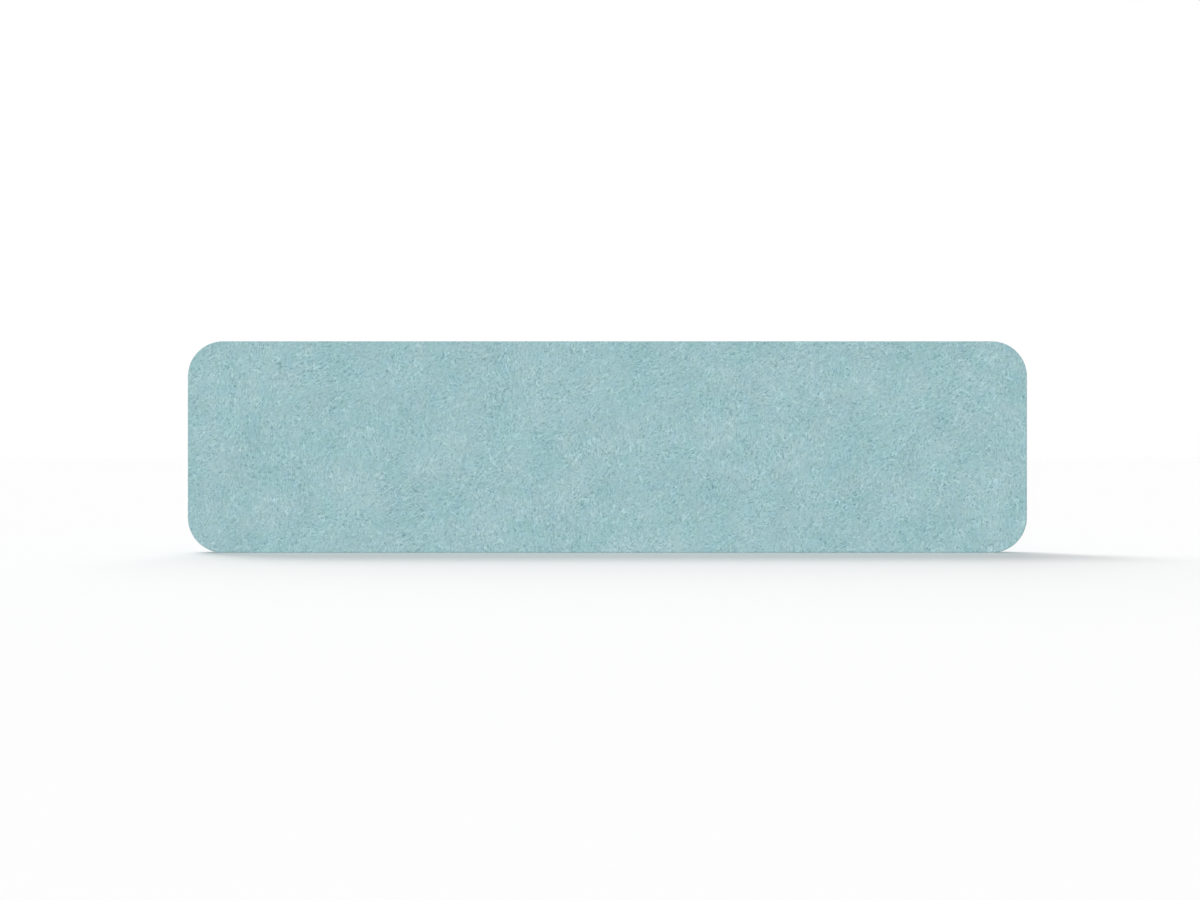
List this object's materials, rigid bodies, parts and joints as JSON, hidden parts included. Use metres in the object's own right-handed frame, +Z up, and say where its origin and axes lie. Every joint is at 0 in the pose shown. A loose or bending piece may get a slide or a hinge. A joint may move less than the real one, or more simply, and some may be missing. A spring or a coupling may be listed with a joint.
{
  "type": "acoustic divider screen",
  "caption": "Low padded acoustic divider screen with rounded corners: felt over a timber frame filled with absorbers, standing on its long edge or bolted from below.",
  "frame": {"origin": "middle of the footprint, on the surface that the screen stands on", "axes": "+X along the screen to the right as seen from the front, +Y from the front face to the rear face, +Z up; the front face looks along -Y"},
  "size_m": [1.19, 0.03, 0.3],
  "materials": {
    "felt": "matt mottled pale blue-green wool felt",
    "wadding": "soft white polyester wadding",
    "softwood": "planed, unfinished",
    "plywood": "sawn and sanded, unfinished",
    "hardboard": "smooth pressed face",
    "absorber": "matt needled polyester slab",
    "beech": "turned and fluted, unfinished",
    "staple_wire": "galvanised wire",
    "strip_plastic": "fine matt extrusion",
    "zinc_screw": "bright zinc plating",
    "zinc_insert": "yellow zinc plating"
  },
  "bodies": {
    "root": {"front_cover": "felt", "rear_cover": "felt", "front_wadding": "wadding", "rear_wadding": "wadding", "top_rail": "softwood", "bottom_rail": "softwood", "left_stile": "softwood", "right_stile": "softwood", "bottom_left_corner_block": "plywood", "bottom_right_corner_block": "plywood", "top_left_corner_block": "plywood", "top_right_corner_block": "plywood", "left_post": "softwood", "right_post": "softwood", "left_baffle": "hardboard", "middle_baffle": "hardboard", "right_baffle": "hardboard", "left_front_absorber": "absorber", "middle_front_absorber": "absorber", "right_front_absorber": "absorber", "left_rear_absorber": "absorber", "middle_rear_absorber": "absorber", "right_rear_absorber": "absorber", "frame_dowels": "beech", "staples": "staple_wire", "bottom_strip": "strip_plastic", "strip_screws": "zinc_screw", "threaded_inserts": "zinc_insert"}
  },
  "joints": []
}
